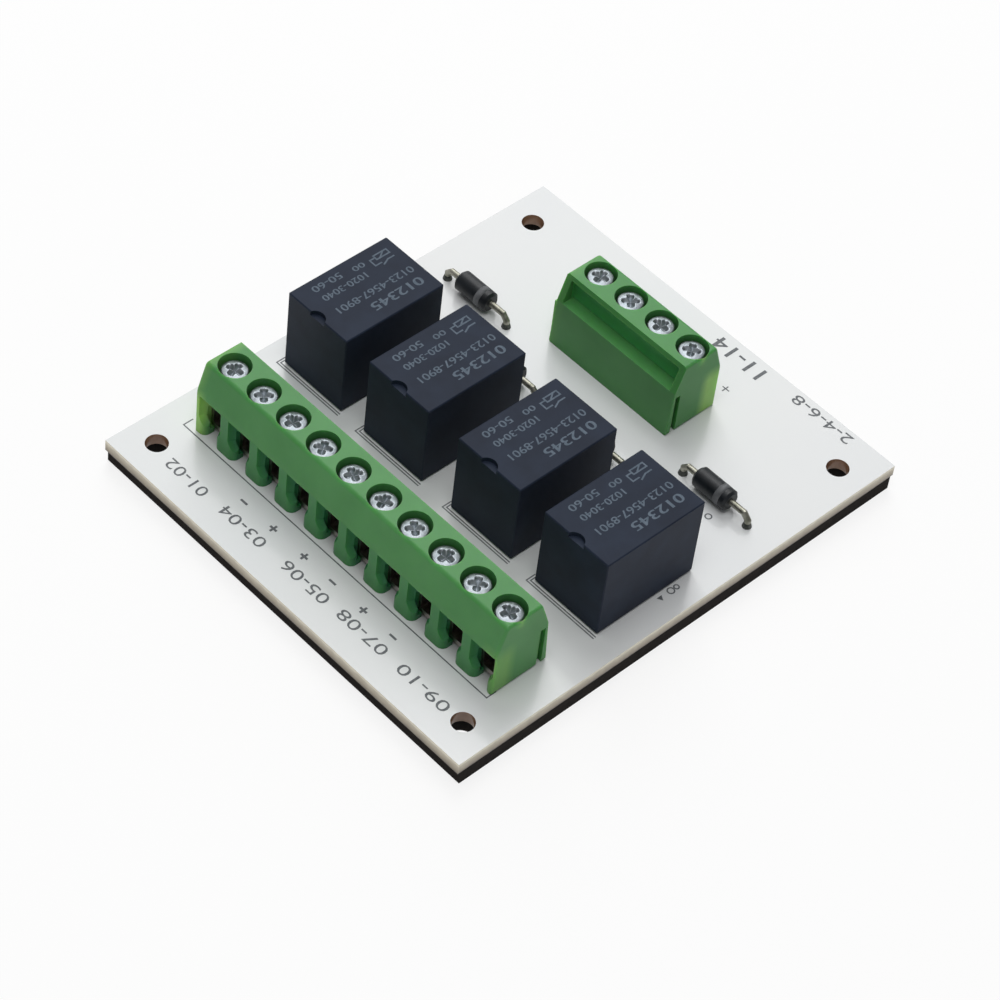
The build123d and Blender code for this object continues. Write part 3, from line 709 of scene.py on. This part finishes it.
def screw_rings(radius, top, seat, low):
    """Rings of one screw from the middle of its head to its tip, as lists of points round zero."""
    rings = []
    for ring in range(1, HEAD_RINGS + 1):
        reach = (radius - HEAD_ROUND) * ring / HEAD_RINGS
        dome = top - HEAD_DOME * (reach / radius) ** 2
        rings.append([(x, y, dome - recess_depth(x, y)) for x, y in round_points(reach, HEAD_STEPS)])
    shoulder = top - HEAD_DOME
    round_off = ROUND_SHARE * HEAD_ROUND
    outline = [
        (radius - round_off, shoulder - round_off),
        (radius, shoulder - HEAD_ROUND),
        (radius, seat),
        (SHANK_RADIUS, seat),
    ]
    z = seat - THREAD_PITCH
    while z > low + THREAD_PITCH:
        outline.append((SHANK_RADIUS - THREAD_DEPTH, z + THREAD_PITCH / 2))
        outline.append((SHANK_RADIUS, z))
        z -= THREAD_PITCH
    outline.append((SHANK_RADIUS - THREAD_DEPTH, low + TIP_HEIGHT))
    outline.append((SHANK_RADIUS * TIP_SHARE, low))
    for reach, z in outline:
        rings.append([(x, y, z) for x, y in round_points(reach, HEAD_STEPS)])
    return rings


def screw_set(node, count, sunk):
    """Detailed screws in the places of one block's plain ones."""
    low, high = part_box(node)
    radius = (high.y - low.y) / 2
    pitch = (high.x - low.x - 2 * radius) / (count - 1)
    top = high.z - sunk
    rings = screw_rings(radius, top, high.z - HEAD_SEAT, low.z)
    shape = bmesh.new()
    for number in range(count):
        turn = Matrix.Rotation(math.radians(FIRST_TURN + TURN_STEP * number), 4, "Z")
        place = Matrix.Translation((low.x + radius + pitch * number, low.y + radius, 0.0)) @ turn
        rows = [[shape.verts.new(place @ Vector(point)) for point in ring] for ring in rings]
        middle = shape.verts.new(place @ Vector((0.0, 0.0, top - RECESS_DEPTH)))
        tip = shape.verts.new(place @ Vector((0.0, 0.0, low.z)))
        for step in range(HEAD_STEPS):
            follow = (step + 1) % HEAD_STEPS
            shape.faces.new((middle, rows[0][step], rows[0][follow]))
            shape.faces.new((tip, rows[-1][follow], rows[-1][step]))
            for near, far in zip(rows, rows[1:]):
                shape.faces.new((near[step], far[step], far[follow], near[follow]))
    mesh = smooth_mesh(f"{node}_detailed", shape)
    piece = new_piece(f"{node}_detailed", mesh, SCREW)
    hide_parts(node)
    return piece


screw_set("front_terminal_screws", 10, 0.15 * MM)
screw_set("rear_terminal_screws", 4, 0.0)


# Dark metal collars where the diode leads enter the board

# Radius and height over the board, in millimetres
COLLAR_OUTLINE = ((0.60, 0.0), (0.57, 0.14), (0.50, 0.34), (0.44, 0.6), (0.39, 0.66))
COLLAR_STEPS = 32


def lead_collars(number):
    """Two small dark collars at the feet of one diode's leads."""
    low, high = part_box(f"diode_{number}_leads")
    lead = (high.y - low.y) / 2
    shape = bmesh.new()
    for x in (low.x + lead, high.x - lead):
        rows = []
        for radius, height in COLLAR_OUTLINE:
            middle = Vector((x, low.y + lead, board_high.z + height * MM))
            points = round_points(radius * MM, COLLAR_STEPS)
            rows.append([shape.verts.new(middle + Vector((*point, 0.0))) for point in points])
        for near, far in zip(rows, rows[1:]):
            for step in range(COLLAR_STEPS):
                follow = (step + 1) % COLLAR_STEPS
                shape.faces.new((near[step], near[follow], far[follow], far[step]))
        shape.faces.new(rows[0][::-1])
        shape.faces.new(rows[-1])
    mesh = smooth_mesh(f"diode_{number}_collars", shape)
    return new_piece(f"diode_{number}_collars", mesh, DARK_COLLAR_METAL)


for diode_number in DIODES:
    lead_collars(diode_number)


# Camera, found from the board's edges and the blocks' heights in the photograph

CAMERA_AZIMUTH = math.radians(41.19)
CAMERA_ELEVATION = math.radians(47.94)
CAMERA_ROLL = math.radians(7.75)
CAMERA_DISTANCE = 392.05 * MM
CAMERA_TARGET = on_board(35.0, 29.38)
PICTURE_SIDE = 1000.0
FOCAL_PIXELS = 3430.8
SENSOR = 36.0


def photo_camera():
    """The camera at the photograph's angle."""
    back = Vector(
        (
            math.sin(CAMERA_AZIMUTH) * math.cos(CAMERA_ELEVATION),
            -math.cos(CAMERA_AZIMUTH) * math.cos(CAMERA_ELEVATION),
            math.sin(CAMERA_ELEVATION),
        )
    )
    right = Vector((math.cos(CAMERA_AZIMUTH), math.sin(CAMERA_AZIMUTH), 0.0))
    up = back.cross(right)
    rolled_right = right * math.cos(CAMERA_ROLL) + up * math.sin(CAMERA_ROLL)
    rolled_up = up * math.cos(CAMERA_ROLL) - right * math.sin(CAMERA_ROLL)
    turn = Matrix((rolled_right, rolled_up, back)).transposed().to_4x4()
    data = bpy.data.cameras.new("photo_camera")
    data.sensor_width = SENSOR
    data.lens = SENSOR * FOCAL_PIXELS / PICTURE_SIDE
    data.clip_start = 0.01
    data.clip_end = 20.0
    camera = bpy.data.objects.new("photo_camera", data)
    bpy.context.scene.collection.objects.link(camera)
    camera.matrix_world = Matrix.Translation(CAMERA_TARGET + back * CAMERA_DISTANCE) @ turn
    bpy.context.scene.camera = camera


photo_camera()


# Floor and light, in metres

FLOOR_TONES = ((0.95, 0.95, 0.95), (0.97, 0.97, 0.97))
FLOOR_PLAIN = 0.8
FLOOR_REACH = 3.0
SURROUNDING_LIGHT = 0.23


def floor_material():
    """Pale floor that shows as white but keeps the object's shadow."""
    material, tree, main = shader("floor_white")
    tree.links.new(add_tones(tree, 6, *FLOOR_TONES), main.inputs["Base Color"])
    main.inputs["Roughness"].default_value = 0.9
    main.inputs["Specular IOR Level"].default_value = 0.1
    # To the camera and in reflections the floor is nearer to plain white than it is to the light
    plain = tree.nodes.new("ShaderNodeEmission")
    path = tree.nodes.new("ShaderNodeLightPath")
    blend = tree.nodes.new("ShaderNodeMixShader")
    mirrored = add_math(tree, "MAXIMUM", path.outputs["Is Glossy Ray"], path.outputs["Is Transmission Ray"])
    seen = add_math(tree, "MAXIMUM", path.outputs["Is Camera Ray"], mirrored)
    tree.links.new(add_product(tree, seen, FLOOR_PLAIN), blend.inputs["Fac"])
    tree.links.new(main.outputs["BSDF"], blend.inputs[1])
    tree.links.new(plain.outputs["Emission"], blend.inputs[2])
    tree.links.new(blend.outputs["Shader"], tree.nodes["Material Output"].inputs["Surface"])
    return material


def floor():
    """A wide plain floor at the pad's underside."""
    shape = bmesh.new()
    bmesh.ops.create_grid(shape, x_segments=1, y_segments=1, size=FLOOR_REACH)
    mesh = bpy.data.meshes.new("floor")
    shape.to_mesh(mesh)
    shape.free()
    mesh.materials.append(floor_material())
    plane = bpy.data.objects.new("floor", mesh)
    bpy.context.scene.collection.objects.link(plane)


def soft_light(name, azimuth, elevation, distance, size, share):
    """A square lamp aimed at the middle of the board, which adds this share of a plain level there."""
    azimuth, elevation = math.radians(azimuth), math.radians(elevation)
    away = Vector(
        (
            math.cos(azimuth) * math.cos(elevation),
            math.sin(azimuth) * math.cos(elevation),
            math.sin(elevation),
        )
    )
    data = bpy.data.lights.new(name, "AREA")
    data.size = size
    data.energy = share * (math.pi * distance) ** 2 / math.sin(elevation)
    lamp = bpy.data.objects.new(name, data)
    bpy.context.scene.collection.objects.link(lamp)
    place = on_board(BOARD_X / 2, BOARD_Y / 2) + away * distance
    lamp.matrix_world = Matrix.Translation(place) @ away.to_track_quat("Z", "Y").to_matrix().to_4x4()


def surroundings():
    """Even, dim white light from all sides."""
    world = bpy.data.worlds.new("surroundings")
    bpy.context.scene.world = world
    world.use_nodes = True
    background = world.node_tree.nodes["Background"]
    background.inputs["Color"].default_value = (1.0, 1.0, 1.0, 1.0)
    background.inputs["Strength"].default_value = SURROUNDING_LIGHT


floor()
surroundings()
soft_light("rear_left_light", azimuth=138, elevation=65, distance=0.75, size=0.30, share=0.24)
soft_light("side_light", azimuth=138, elevation=34, distance=0.80, size=0.50, share=0.18)
soft_light("top_light", azimuth=-60, elevation=78, distance=0.70, size=0.35, share=0.36)

bpy.context.scene.view_settings.view_transform = "Standard"
